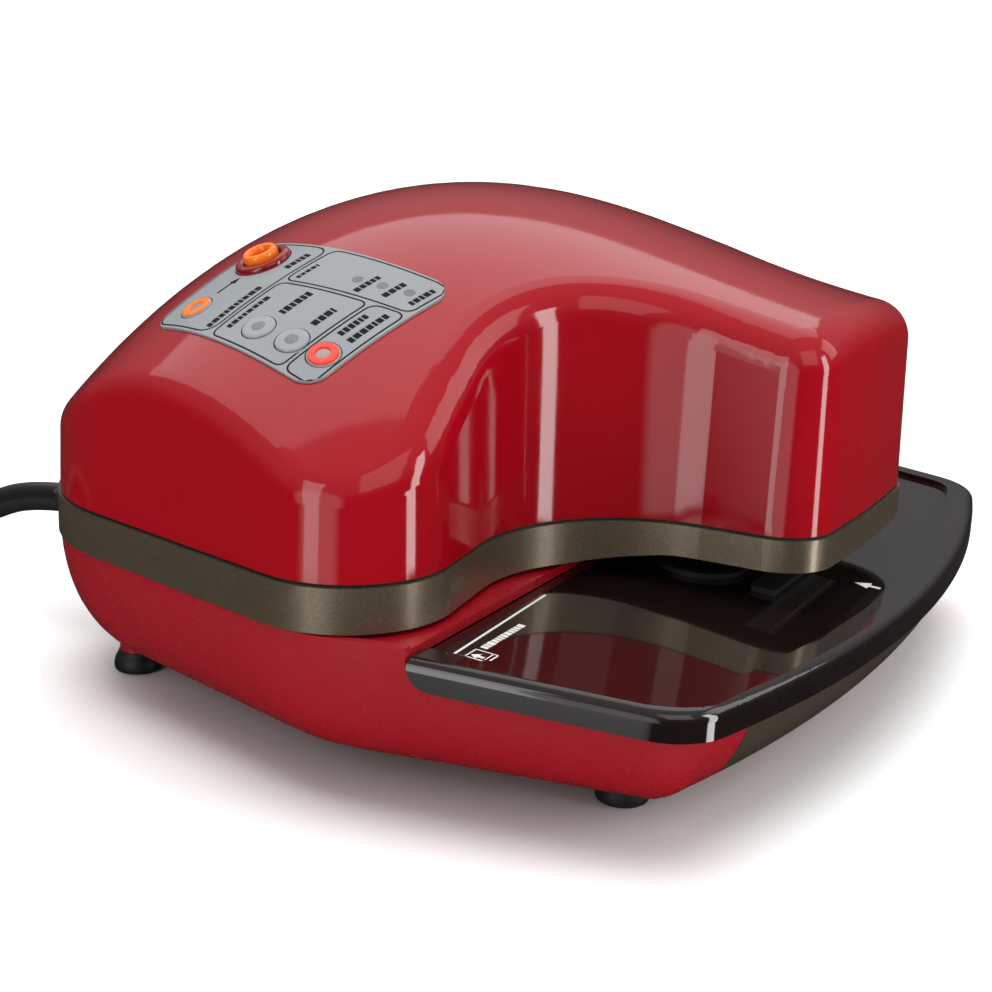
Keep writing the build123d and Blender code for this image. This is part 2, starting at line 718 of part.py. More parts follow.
fan_x = motor_left - 9
with BuildPart() as cooling_fan:
    with Locations((fan_x, motor_y, motor_z)):
        Cylinder(6, 8, rotation=(0, 90, 0))
    with Locations((fan_x + 10, motor_y, motor_z)):
        Cylinder(shaft_radius, 18, rotation=(0, 90, 0))
    for k in range(fan_blades):
        blade = Pos(fan_x, motor_y, motor_z) * Rot(k * 360 / fan_blades, 0, 0) * Pos(0, 0, 10) * Rot(0, 0, 35)
        with Locations(blade):
            Box(8, 1.4, 12)
finish_piece(cooling_fan.part, "cooling_fan")

with BuildPart() as pump_head:
    with Locations((motor_right, motor_y, chassis_top)):
        Box(pump_head_length, 2 * motor_radius + 4, pump_head_height, align=(Align.MIN, Align.CENTER, Align.MIN))
    fillet(pump_head.edges().filter_by(Axis.X), 4)
    with Locations((motor_right + pump_head_length / 2, motor_y - motor_radius - 2, hood_mid_z + 6)):
        Cylinder(hose_bore_radius + 1.2, 8, rotation=(90, 0, 0))
finish_piece(pump_head.part, "pump_head")

hose_x = motor_right + pump_head_length / 2
hose_points = [(hose_x, motor_y - motor_radius - 6.1, hood_mid_z + 6), (hose_x, 22, hood_mid_z + 6),
               (hose_x - 6, -8, hood_mid_z + 3), (0, -32, hood_mid_z), (0, cup_y + cup_width / 2 + 0.1, hood_mid_z)]
with BuildPart() as vacuum_hose:
    with BuildLine() as hose_line:
        FilletPolyline(*hose_points, radius=[30, 30, 22])
    with BuildSketch(Plane(origin=hose_line.line @ 0, z_dir=hose_line.line % 0)):
        Circle(hose_bore_radius + 1.2)
        Circle(hose_bore_radius - 0.4, mode=Mode.SUBTRACT)
    sweep()
finish_piece(vacuum_hose.part, "vacuum_hose")

with BuildPart() as power_board:
    with Locations((power_board_x, power_board_y, chassis_top)):
        with GridLocations(54, 50, 2, 2):
            Cylinder(2.5, 5, align=(Align.CENTER, Align.CENTER, Align.MIN))
    with Locations((power_board_x, power_board_y, chassis_top + 5)):
        Box(64, 60, board_thickness, align=(Align.CENTER, Align.CENTER, Align.MIN))
finish_piece(power_board.part, "power_board")

with BuildPart() as transformer:
    with Locations((power_board_x, power_board_y + 8, chassis_top + 5 + board_thickness)):
        Box(34, 28, 26, align=(Align.CENTER, Align.CENTER, Align.MIN))
        Box(22, 38, 18, align=(Align.CENTER, Align.CENTER, Align.MIN))
finish_piece(transformer.part, "transformer")

# ---------------------------------------------------------------- control panel
with BuildPart() as control_panel:
    add(crown_solid(panel_thickness))
    add(crown_solid(0.0), mode=Mode.SUBTRACT)
    with BuildSketch(panel_plane.offset(-15)):
        with BuildLine():
            FilletPolyline(*panel_corners, radius=panel_corner_radius, close=True)
        make_face()
    extrude(amount=30, mode=Mode.INTERSECT)
    for place in button_places.values():
        with BuildSketch(panel_at(place, -6)):
            Circle(button_radius + slide_gap / 2)
        extrude(amount=12, mode=Mode.SUBTRACT)
    with BuildSketch(panel_at(port_place, -6)):
        Circle(port_collar_radius + 0.2)
    extrude(amount=12, mode=Mode.SUBTRACT)
    for place in lens_places:
        with BuildSketch(panel_at(place, -6)):
            Circle(lens_radius)
        extrude(amount=12, mode=Mode.SUBTRACT)
finish_piece(control_panel.part, "control_panel")

for name, place in button_places.items():
    sunk = (crown_point(place)[0] - panel_plane.origin).dot(panel_normal)
    stem_depth = sunk + board_depth - switch_height - button_travel - slide_gap
    with BuildPart() as button:
        with BuildSketch(panel_at(place, -head_wall - 1.6)):
            Circle(button_radius)
        extrude(amount=head_wall + 1.6 + panel_thickness + button_height)
        fillet(button.edges().filter_by(GeomType.CIRCLE).sort_by(Axis.Z)[-1], 0.5)
        with BuildSketch(panel_at(place, -stem_depth)):
            Circle(button_stem_radius)
        extrude(amount=stem_depth - head_wall - 1.6)
    finish_piece(button.part, name)
    print(name, "presses along", [round(-n, 5) for n in crown_point(place)[1]])

with BuildPart() as port_collar:
    with BuildSketch(panel_at(port_place, 0.05)):
        Circle(port_collar_radius)
        Circle(port_ring_radius + 0.05, mode=Mode.SUBTRACT)
    extrude(amount=port_collar_height, taper=12)
finish_piece(port_collar.part, "port_collar")

with BuildPart() as port_nozzle:
    with BuildSketch(panel_at(port_place, -9)):
        Circle(port_ring_radius - 0.05)
    extrude(amount=9 + port_ring_height)
    fillet(port_nozzle.edges().filter_by(GeomType.CIRCLE).sort_by(Axis.Z)[-1], 1.4)
    with BuildSketch(panel_at(port_place, -10)):
        Circle(port_bore / 2)
    extrude(amount=40, mode=Mode.SUBTRACT)
finish_piece(port_nozzle.part, "port_nozzle")
port_mouth, port_axis = crown_point(port_place)
print("port at", [round(v, 3) for v in port_mouth], "along", [round(v, 5) for v in port_axis])

with BuildPart() as status_lenses:
    for place in lens_places:
        with BuildSketch(panel_at(place, -head_wall + 0.4)):
            Circle(lens_radius)
        extrude(amount=head_wall - 0.4 + panel_thickness)
finish_piece(status_lenses.part, "status_lenses")

with BuildPart() as control_board:
    with BuildSketch(panel_plane.offset(-board_depth - board_thickness)):
        RectangleRounded(panel_width - 1, panel_length - 1, 3)
    extrude(amount=board_thickness)
    with BuildSketch(panel_plane.offset(-board_depth - board_thickness - 1)):
        with Locations(port_place):
            Circle(port_ring_radius + 1)
    extrude(amount=4, mode=Mode.SUBTRACT)
finish_piece(control_board.part, "control_board")

with BuildPart() as tact_switches:
    for place in button_places.values():
        with BuildSketch(panel_plane.offset(-board_depth)):
            with Locations(place):
                Rectangle(switch_size, switch_size)
        extrude(amount=switch_height)
finish_piece(tact_switches.part, "tact_switches")

with BuildPart() as status_leds:
    for place in lens_places:
        with BuildSketch(panel_plane.offset(-board_depth)):
            with Locations(place):
                Circle(1.5)
        extrude(amount=5)
finish_piece(status_leds.part, "status_leds")

# ---------------------------------------------------------------- power cord
cord_x, cord_z = cord_exit
coil_x, coil_y = coil_centre
cord_points = [(cord_x, y, z) for y, z in ((gland_end_y, 39.0), (168, 39.0), (186, 33.5), (202, 23.0), (215, 11.5),
                                           (229, cord_tube_radius), (coil_y - coil_stub, cord_tube_radius))]
cord_radii = []
for a, b, c in zip(cord_points, cord_points[1:], cord_points[2:]):
    before, after = Vector(*b) - Vector(*a), Vector(*c) - Vector(*b)
    half_turn = math.radians(before.get_angle(after)) / 2
    cord_radii.append(0.45 * min(before.length, after.length) / math.tan(half_turn))
print("cord radii", [round(r, 1) for r in cord_radii])

with BuildPart() as cord_gland:
    with BuildSketch(Plane.XY):
        with BuildLine():
            Polyline((0, 0), (gland_radius + 1, 0), (gland_radius + 1, 2), (gland_radius, 2), (gland_radius, 9.4),
                     (gland_radius + 1, 9.4), (gland_radius + 1, 11), (gland_tip_radius, gland_end_y - gland_start_y),
                     (0, gland_end_y - gland_start_y), close=True)
        make_face()
    revolve(axis=Axis.Y)
cord_gland.part.position = (cord_x, gland_start_y, cord_z)
finish_piece(cord_gland.part, "cord_gland")

with BuildPart() as power_cord:
    with BuildLine() as cord_line:
        FilletPolyline(*cord_points, radius=cord_radii)
    with BuildSketch(Plane(origin=cord_line.line @ 0, z_dir=cord_line.line % 0)):
        Circle(cord_tube_radius)
    sweep()
print("cord tube", round(sum(edge.length for edge in cord_line.edges()), 1), "by volume",
      round(power_cord.part.volume / (math.pi * cord_tube_radius**2), 1))
finish_piece(power_cord.part, "power_cord")

with BuildPart() as cord_coil:
    with BuildSketch(Plane.XY):
        with Locations((coil_x, coil_y)):
            Circle(coil_radius + coil_half_band)
            Circle(coil_radius - coil_half_band, mode=Mode.SUBTRACT)
        for x in (coil_x - coil_radius, coil_x + coil_radius):
            with Locations((x, coil_y)):
                Rectangle(2 * cord_tube_radius, coil_stub, align=(Align.CENTER, Align.MAX))
    extrude(amount=coil_height)
finish_piece(cord_coil.part, "cord_coil")

plug_x, plug_y = coil_x - coil_radius, coil_y - coil_stub
with BuildPart() as power_plug:
    with BuildSketch(Plane.XZ.offset(-plug_y)):
        with Locations((plug_x, plug_height / 2)):
            RectangleRounded(12, 9, 3)
    with BuildSketch(Plane.XZ.offset(-plug_y + 14)):
        with Locations((plug_x, plug_height / 2)):
            RectangleRounded(plug_width, plug_height, 5)
    with BuildSketch(Plane.XZ.offset(-plug_y + plug_length)):
        with Locations((plug_x, plug_height / 2)):
            RectangleRounded(plug_width - 1.5, plug_height - 1, 5)
    loft(ruled=True)
finish_piece(power_plug.part, "power_plug")

with BuildPart() as plug_blades:
    for side in (-1, 1):
        with Locations((plug_x + side * 6.35, plug_y - plug_length, plug_height / 2)):
            Box(1.5, 16, 6.4, align=(Align.CENTER, Align.MAX, Align.CENTER))
finish_piece(plug_blades.part, "plug_blades")

print(len(made), "pieces")
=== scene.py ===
import json
import math
import random
import bpy
import bmesh
from mathutils import Matrix, Vector
from mathutils.bvhtree import BVHTree


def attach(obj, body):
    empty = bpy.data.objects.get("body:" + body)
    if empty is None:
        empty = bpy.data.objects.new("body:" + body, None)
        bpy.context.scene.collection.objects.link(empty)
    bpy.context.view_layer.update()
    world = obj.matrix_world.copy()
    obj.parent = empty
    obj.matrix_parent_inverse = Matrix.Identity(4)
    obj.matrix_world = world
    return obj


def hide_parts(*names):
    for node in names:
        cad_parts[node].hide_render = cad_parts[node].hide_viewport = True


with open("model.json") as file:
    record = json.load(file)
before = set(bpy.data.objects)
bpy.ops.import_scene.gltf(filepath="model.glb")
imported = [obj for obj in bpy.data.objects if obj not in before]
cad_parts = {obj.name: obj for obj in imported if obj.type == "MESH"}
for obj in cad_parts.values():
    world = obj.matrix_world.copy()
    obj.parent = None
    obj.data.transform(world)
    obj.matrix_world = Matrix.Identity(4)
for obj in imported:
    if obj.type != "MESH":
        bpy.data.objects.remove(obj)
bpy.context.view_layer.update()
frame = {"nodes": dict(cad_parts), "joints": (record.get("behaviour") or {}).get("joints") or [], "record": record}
nodes = frame["nodes"]
mm = 0.001
scene = bpy.context.scene

# ---------------------------------------------------------------- camera
# A view of the object's front corner, from a little above; right, up and ahead are the camera's own directions.
camera_data = bpy.data.cameras.new("camera")
camera_data.sensor_width = 36.0
camera_data.lens = 61.57
camera_data.shift_x, camera_data.shift_y = -0.0053, -0.0038
camera_place = (-0.47636, -0.23896, 0.19896)
camera = bpy.data.objects.new("camera", camera_data)
scene.collection.objects.link(camera)
right, up = Vector((0.4843, -0.874, 0.0394)), Vector((0.2156, 0.1628, 0.9628))
ahead = Vector((0.8479, 0.4578, -0.2673))
turn = Matrix((right, up, -ahead)).transposed().to_4x4()
camera.matrix_world = Matrix.Translation(camera_place) @ turn
scene.camera = camera


# ---------------------------------------------------------------- mesh helpers
def made_mesh(name, points, faces, smooth=True):
    """A mesh object from points in metres and faces, normals outward."""
    mesh = bpy.data.meshes.new(name)
    mesh.from_pydata([tuple(p) for p in points], [], faces)
    work = bmesh.new()
    work.from_mesh(mesh)
    bmesh.ops.recalc_face_normals(work, faces=work.faces)
    work.to_mesh(mesh)
    work.free()
    for face in mesh.polygons:
        face.use_smooth = smooth
    made = bpy.data.objects.new(name, mesh)
    scene.collection.objects.link(made)
    return made


def bridged(low, high):
    """Faces between two rings of as many points."""
    return [(low[i], low[(i + 1) % len(low)], high[(i + 1) % len(low)], high[i]) for i in range(len(low))]


def revolved(profile, place, axis, steps=64):
    """Points and faces of a lathe form about an axis with its foot at place.

    The profile is (radius, height) in mm. It starts and ends on the axis, or closes on itself."""
    points, faces, rings = [], [], []
    turn = Vector(axis).normalized().to_track_quat("Z", "Y").to_matrix()
    for r, h in profile:
        if r < 1e-6:
            rings.append([len(points)])
            points.append(Vector(place) + turn @ Vector((0, 0, h * mm)))
            continue
        ring = []
        for i in range(steps):
            a = 2 * math.pi * i / steps
            ring.append(len(points))
            out_of_axis = Vector((r * mm * math.cos(a), r * mm * math.sin(a), h * mm))
            points.append(Vector(place) + turn @ out_of_axis)
        rings.append(ring)
    for low, high in zip(rings, rings[1:]):
        if len(low) == 1 and len(high) > 1:
            faces += [(low[0], high[i], high[(i + 1) % steps]) for i in range(steps)]
        elif len(high) == 1 and len(low) > 1:
            faces += [(low[i], low[(i + 1) % steps], high[0]) for i in range(steps)]
        elif len(low) > 1:
            faces += bridged(low, high)
    if len(rings[0]) > 1 and len(rings[-1]) > 1:
        faces += bridged(rings[-1], rings[0])
    return points, faces


def rounded_profile(corners, steps=5):
    """A finer (r, h) profile from corners of (r, h, rounding)."""
    out = []
    for i, (r, h, rounding) in enumerate(corners):
        here = Vector((r, h))
        if rounding <= 0 or i in (0, len(corners) - 1):
            out.append((r, h))
            continue
        before, after = Vector(corners[i - 1][:2]), Vector(corners[i + 1][:2])
        a, b = (before - here), (after - here)
        cut = min(rounding, a.length * 0.49, b.length * 0.49)
        start, end = here + a.normalized() * cut, here + b.normalized() * cut
        for k in range(steps + 1):
            t = k / steps
            p = start * (1 - t) ** 2 + here * 2 * t * (1 - t) + end * t**2
            out.append((p.x, p.y))
    return out


def lathe(name, corners, place, axis, steps):
    """A mesh object turned from rounded corners."""
    return made_mesh(name, *revolved(rounded_profile(corners), place, axis, steps))


def section_walls(sections, count):
    """Faces of a closed form whose points are a row of sections, each of count points."""
    faces = []
    for i in range(sections - 1):
        here = range(i * count, (i + 1) * count)
        for k in range(count):
            n = (k + 1) % count
            faces.append((here[k], here[n], here[n] + count, here[k] + count))
    faces.append(tuple(range(count)))
    faces.append(tuple(range((sections - 1) * count, sections * count)))
    return faces


def joined(name, forms):
    """One mesh object from several (points, faces)."""
    points, faces = [], []
    for some_points, some_faces in forms:
        start = len(points)
        points += some_points
        faces += [tuple(start + i for i in face) for face in some_faces]
    return made_mesh(name, points, faces)


# ---------------------------------------------------------------- material helpers
def new_material(name):
    made = bpy.data.materials.new(name)
    made.use_nodes = True
    tree = made.node_tree
    return made, tree, tree.nodes["Principled BSDF"]


def object_coordinates(tree, stretch=(1, 1, 1)):
    """The object's own coordinates in metres, so a scale is a number of features in a metre."""
    place = tree.nodes.new("ShaderNodeTexCoord")
    mapping = tree.nodes.new("ShaderNodeMapping")
    mapping.inputs["Scale"].default_value = stretch
    tree.links.new(place.outputs["Object"], mapping.inputs["Vector"])
    return mapping.outputs["Vector"]


def noise(tree, vector, scale, detail=3.0, rough=0.5):
    """Cloudy values about 0.5."""
    made = tree.nodes.new("ShaderNodeTexNoise")
    made.inputs["Scale"].default_value = scale
    made.inputs["Detail"].default_value = detail
    made.inputs["Roughness"].default_value = rough
    tree.links.new(vector, made.inputs["Vector"])
    return made.outputs["Fac"]


def ranged(tree, value, low, high, start=0.3, end=0.7):
    """A value from start to end, stretched to run from low to high."""
    made = tree.nodes.new("ShaderNodeMapRange")
    for key, number in (("From Min", start), ("From Max", end), ("To Min", low), ("To Max", high)):
        made.inputs[key].default_value = number
    tree.links.new(value, made.inputs["Value"])
    return made.outputs["Result"]


def mixed(tree, factor, low, high):
    """A colour between two colours."""
    made = tree.nodes.new("ShaderNodeMix")
    made.data_type = "RGBA"
    made.inputs["A"].default_value = (*low, 1)
    made.inputs["B"].default_value = (*high, 1)
    tree.links.new(factor, made.inputs["Factor"])
    return made.outputs["Result"]


def bumped(tree, shader, height, strength, distance):
    """Gives a shader a relief of so many metres."""
    made = tree.nodes.new("ShaderNodeBump")
    made.inputs["Strength"].default_value = strength
    made.inputs["Distance"].default_value = distance
    tree.links.new(height, made.inputs["Height"])
    tree.links.new(made.outputs["Normal"], shader.inputs["Normal"])


def moulded(name, base, rough, spec=0.5, vary=0.06, vary_scale=18.0, grain=900.0, grain_depth=0.00002,
            strength=0.15, coat=0.0, coat_rough=0.05, metal=0.0, rough_spread=0.25):
    """Moulded or lacquered surface: faint cloudiness of colour, uneven gloss and, with a strength, a fine grain."""
    made, tree, shader = new_material(name)
    where = object_coordinates(tree)
    cloud = noise(tree, where, vary_scale, 4.0, 0.6)
    dark = [c * (1 - vary) for c in base]
    light = [min(1.0, c * (1 + vary)) for c in base]
    tree.links.new(mixed(tree, ranged(tree, cloud, 0, 1), dark, light), shader.inputs["Base Color"])
    uneven = noise(tree, where, vary_scale * 3.1, 5.0, 0.65)
    dullness = ranged(tree, uneven, rough * (1 - rough_spread), rough * (1 + rough_spread))
    tree.links.new(dullness, shader.inputs["Roughness"])
    shader.inputs["Metallic"].default_value = metal
    shader.inputs["Specular IOR Level"].default_value = spec
    shader.inputs["IOR"].default_value = 1.5
    shader.inputs["Coat Weight"].default_value = coat
    shader.inputs["Coat Roughness"].default_value = coat_rough
    if strength > 0:
        bumped(tree, shader, noise(tree, where, grain, 2.0, 0.5), strength, grain_depth)
    return made


def flaked(name, base, glint, rough, metal, cell, spread):
    """Metallic lacquer: bright and dark flakes under a thin clear coat."""
    made, tree, shader = new_material(name)
    where = object_coordinates(tree)
    cells = tree.nodes.new("ShaderNodeTexVoronoi")
    cells.inputs["Scale"].default_value = cell
    tree.links.new(where, cells.inputs["Vector"])
    parts = tree.nodes.new("ShaderNodeSeparateColor")
    tree.links.new(cells.outputs["Color"], parts.inputs["Color"])
    cloud = noise(tree, where, 30.0, 3.0, 0.5)
    share = tree.nodes.new("ShaderNodeMath")
    share.operation = "MULTIPLY"
    tree.links.new(ranged(tree, parts.outputs["Red"], 0.0, spread, 0.35, 1.0), share.inputs[0])
    tree.links.new(ranged(tree, cloud, 0.8, 1.2), share.inputs[1])
    tree.links.new(mixed(tree, share.outputs["Value"], base, glint), shader.inputs["Base Color"])
    dullness = ranged(tree, parts.outputs["Green"], rough * 0.8, rough * 1.25, 0, 1)
    tree.links.new(dullness, shader.inputs["Roughness"])
    shader.inputs["Metallic"].default_value = metal
    shader.inputs["Coat Weight"].default_value = 0.35
    shader.inputs["Coat Roughness"].default_value = 0.12
    bumped(tree, shader, parts.outputs["Blue"], 0.12, 0.00004)
    return made


def brushed(name, base, rough, stretch=(1, 30, 1), scale=300.0):
    """Turned or drawn metal: fine streaks in colour, gloss and height."""
    made, tree, shader = new_material(name)
    where = object_coordinates(tree, stretch)
    streak = noise(tree, where, scale, 4.0, 0.6)
    colour = mixed(tree, ranged(tree, streak, 0, 1), [c * 0.8 for c in base], base)
    tree.links.new(colour, shader.inputs["Base Color"])
    tree.links.new(ranged(tree, streak, rough * 0.7, rough * 1.3), shader.inputs["Roughness"])
    shader.inputs["Metallic"].default_value = 1.0
    bumped(tree, shader, streak, 0.2, 0.00003)
    return made


looks = {
    "red_shell": moulded("red_gloss", (0.285, 0.0020, 0.0068), 0.085, spec=0.42, vary=0.03, grain=140.0,
                         grain_depth=0.00003, strength=0.04, coat=0.2, coat_rough=0.03),
    "red_base": moulded("red_satin", (0.300, 0.0042, 0.0110), 0.27, spec=0.45, vary=0.04, strength=0.0,
                        rough_spread=0.1),
    "bronze_trim": flaked("bronze_lacquer", (0.150, 0.115, 0.076), (0.25, 0.20, 0.142), 0.36, metal=0.72,
                          cell=4200.0, spread=0.7),
    "black_gloss": moulded("black_gloss", (0.0075, 0.0045, 0.004), 0.075, spec=0.5, vary=0.1, grain=160.0,
                           grain_depth=0.00003, strength=0.05, coat=0.5, coat_rough=0.03),
    "black_plastic": moulded("black_texture", (0.016, 0.016, 0.017), 0.5, spec=0.4, grain=2200.0, grain_depth=0.00006,
                             strength=0.4),
    "black_rubber": moulded("black_rubber", (0.012, 0.012, 0.012), 0.55, spec=0.35, grain=2600.0, grain_depth=0.00005,
                            strength=0.35),
    "cord_jacket": moulded("cord_jacket", (0.014, 0.014, 0.015), 0.36, spec=0.45, grain=1800.0, grain_depth=0.00004,
                           strength=0.2),
    "plug_plastic": moulded("plug_vinyl", (0.014, 0.014, 0.015), 0.42, spec=0.45, grain=2400.0, grain_depth=0.00005,
                            strength=0.35),
    "panel_label": moulded("silver_label", (0.245, 0.258, 0.268), 0.5, spec=0.35, vary=0.04, grain=3800.0,
                           grain_depth=0.00003, strength=0.15),
    "orange_plastic": moulded("orange_gloss", (0.90, 0.175, 0.004), 0.16, spec=0.45, vary=0.05, grain=500.0,
                              coat=0.3),
    "grey_button": moulded("grey_button", (0.255, 0.268, 0.277), 0.30, spec=0.45, vary=0.04, grain=1500.0,
                           strength=0.08),
    "red_button": moulded("red_orange_gloss", (0.72, 0.030, 0.010), 0.18, vary=0.05, grain=500.0, coat=0.3),
    "lens_plastic": moulded("frosted_lens", (0.13, 0.125, 0.12), 0.3, vary=0.08, vary_scale=300.0, grain=2500.0),
    "led_plastic": moulded("led_clear", (0.72, 0.7, 0.62), 0.15, vary=0.08, vary_scale=200.0),
    "circuit_board": moulded("solder_mask", (0.018, 0.12, 0.05), 0.4, vary=0.25, vary_scale=260.0, grain=1200.0),
    "switch_plastic": moulded("switch_plastic", (0.02, 0.02, 0.02), 0.4, grain=1500.0),
    "steel": brushed("zinc_steel", (0.5, 0.5, 0.5), 0.32),
    "pump_alloy": moulded("cast_alloy", (0.5, 0.5, 0.5), 0.45, vary=0.12, vary_scale=90.0, grain=1400.0,
                          grain_depth=0.00008, strength=0.5, metal=1.0),
    "coil_copper": brushed("copper_winding", (0.5, 0.2, 0.09), 0.35, (1, 1, 12), 220.0),
    "white_plastic": moulded("white_nylon", (0.62, 0.62, 0.6), 0.4, grain=1500.0),
    "seal_tape": moulded("release_tape", (0.36, 0.25, 0.14), 0.45, vary=0.2, vary_scale=700.0, grain=1800.0,
                         strength=0.4),
    "hose_silicone": moulded("hose_silicone", (0.5, 0.5, 0.48), 0.3, grain=900.0),
    "brass_blades": brushed("plated_blades", (0.62, 0.57, 0.46), 0.24, (20, 1, 1), 260.0),
}
slot_of = {row["node"]: row["material_slot"] for row in frame["record"]["subparts"]}


def paint(piece, slot, look=None):
    """Gives a piece one material: the given look, or else the material of its slot."""
    piece.data.materials.clear()
    piece.data.materials.append(look or looks[slot])


for name, node in nodes.items():
    node.data.materials.clear()
    node.data.materials.append(looks[slot_of[name]])

# ---------------------------------------------------------------- power cord
# Lengths are in mm. The cord leaves the back at cord_x, drops to the surface and is put away in a flat coil.
cord_x, cord_exit_y, cord_exit_z = -64.0, 150.0, 39.0
coil_x, coil_y, coil_turns = -118.0, 287.0, 3.5
cord_thick, cord_wide = 5.2, 9.8
lower_layer, upper_layer = 3.1, 8.5
plug_x, plug_y, plug_z, plug_length = coil_x - 54.0, 243.0, 7.5, 36.0
route = [(cord_x, y, z) for y, z in (
    (cord_exit_y, cord_exit_z), (166.0, 37.6), (183.0, 31.0), (200.0, 21.0), (215.0, 11.0), (229.0, 3.6),
    (243.0, lower_layer), (262.0, lower_layer))]
# (turns so far, radius, height): two turns side by side on the surface, and the rest on top of them
winding = [(0.0, 54.0, lower_layer), (0.16, 56.5, lower_layer), (0.4, 59.2, lower_layer), (0.9, 59.2, lower_layer),
           (1.15, 54.0, lower_layer), (1.35, 49.2, lower_layer), (1.75, 48.9, lower_layer), (2.0, 49.4, 5.8),
           (2.2, 50.4, upper_layer), (2.6, 49.2, upper_layer), (2.95, 53.0, upper_layer), (3.2, 58.4, upper_layer),
           (3.35, 57.6, upper_layer), (coil_turns, 54.0, upper_layer)]
turn_points = 14
for i in range(int(coil_turns * turn_points) + 1):
    done = i / turn_points
    for (t0, r0, z0), (t1, r1, z1) in zip(winding, winding[1:]):
        if t0 <= done <= t1 + 1e-9:
            s = (done - t0) / (t1 - t0)
            ease = s * s * (3 - 2 * s)
            radius, height = r0 + (r1 - r0) * ease, z0 + (z1 - z0) * ease
            break
    wobble = 0.35 * math.sin(2.3 * done * math.pi + 0.7)
    angle = 2 * math.pi * done
    stretch = 1 / math.cos(math.pi / turn_points) ** 0.5        # the spline cuts inside its points
    route.append((coil_x + (radius + wobble) * stretch * math.cos(angle),
                  coil_y + (radius + wobble) * stretch * math.sin(angle), height))
route += [(plug_x, 268.0, upper_layer), (plug_x, 255.0, 7.8), (plug_x, plug_y - 1.0, plug_z)]

line = bpy.data.curves.new("cord_line", "CURVE")
line.dimensions = "3D"
spline = line.splines.new("NURBS")
spline.points.add(len(route) - 1)
for point, place in zip(spline.points, route):
    point.co = (*[c * mm for c in place], 1)
spline.order_u = 3
spline.use_endpoint_u = True
line.resolution_u = 10
line_object = bpy.data.objects.new("cord_line", line)
scene.collection.objects.link(line_object)
bpy.context.view_layer.update()
line_mesh = bpy.data.meshes.new_from_object(line_object)
path = [v.co.copy() for v in line_mesh.vertices]
bpy.data.objects.remove(line_object)
bpy.data.meshes.remove(line_mesh)


def swept(name, path, section, side_at):
    """A tube along path. Its section is (across, up) in mm, and side_at gives the direction across at a point."""
    points = []
    for i, place in enumerate(path):
        ahead = (path[min(i + 1, len(path) - 1)] - path[max(i - 1, 0)]).normalized()
        side = side_at(i, ahead)
        side = (side - ahead * side.dot(ahead)).normalized()
        top = ahead.cross(side).normalized()
        points += [place + side * (a * mm) + top * (b * mm) for a, b in section]
    return made_mesh(name, points, section_walls(len(path), len(section)))


def twin_section(wide, thick, steps=9):
    """Outline of a flat twin cord: two round cores with a shallow groove between them on each side."""
    r = thick / 2
    middle = wide / 2 - r
    half_arc = 138          # degrees of each core that show, to either side
    out = []
    for sign in (1, -1):
        for k in range(steps * 2 + 1):
            a = (-half_arc + 2 * half_arc * k / (steps * 2)) * math.pi / 180
            out.append((sign * (middle + r * math.cos(a)), sign * r * math.sin(a)))
    return out


def cord_side(i, ahead):
    """Across the cord at a point: upright where it leaves the housing, and flat where it lies on the surface."""
    flat_from, turning = 236, 62
    flat = ahead.cross(Vector((0, 0, 1)))
    if flat.length < 1e-4:
        flat = Vector((1, 0, 0))
    flat.normalize()
    y = path[i].y / mm
    in_coil = path[i].x < (cord_x - 0.5) * mm or y > flat_from
    share = 0.0 if in_coil else max(0.0, min(1.0, (flat_from - y) / turning))
    share = share * share * (3 - 2 * share)
    upright = ahead.cross(flat) * -1
    a = share * math.pi / 2
    return flat * math.cos(a) + upright * math.sin(a)


cord = swept("mains_cord", path, twin_section(cord_wide, cord_thick), cord_side)
paint(cord, "cord_jacket")
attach(cord, "root")
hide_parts("power_cord", "cord_coil")

# strain relief with grooves between its ribs
gland_start, gland_length = 115.4, 34.6
gland_profile = [(0, 0.2, 0), (7.1, 0.2, 0.3), (7.1, 2.0, 0.3), (6.2, 2.1, 0.1), (6.2, 9.3, 0.1), (7.1, 9.5, 0.3),
                 (7.15, 11.4, 0.7)]
for k in range(5):
    foot = 13.0 + k * 4.1
    wide = 6.7 - 0.22 * k
    gland_profile += [(wide - 0.1, foot, 0.5), (wide - 1.1, foot + 0.5, 0.4), (wide - 1.15, foot + 1.3, 0.4),
                      (wide - 0.25, foot + 1.8, 0.5)]
gland_profile += [(5.5, 33.6, 0.6), (5.2, gland_length, 0.4), (0, gland_length, 0)]
gland_foot = (cord_x * mm, gland_start * mm, cord_exit_z * mm)
gland = lathe("strain_relief", gland_profile, gland_foot, (0, 1, 0), 56)
paint(gland, "black_rubber")
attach(gland, "root")
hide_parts("cord_gland")


def rounded_rectangle(wide, high, corner, steps=6):
    """Points round a rectangle with rounded corners."""
    out = []
    for cx, cz, start in ((1, 1, 0), (-1, 1, 90), (-1, -1, 180), (1, -1, 270)):
        for k in range(steps + 1):
            a = math.radians(start + 90 * k / steps)
            out.append((cx * (wide / 2 - corner) + corner * math.cos(a),
                        cz * (high / 2 - corner) + corner * math.sin(a)))
    return out


def loft(sections):
    """A closed form about the plug's middle line, through sections of (y, wide, high, corner) in mm."""
    points = []
    for y, wide, high, corner in sections:
        outline = rounded_rectangle(wide, high, corner)
        points += [Vector(((plug_x + a) * mm, y * mm, (plug_z + b) * mm)) for a, b in outline]
    return points, section_walls(len(sections), len(outline))


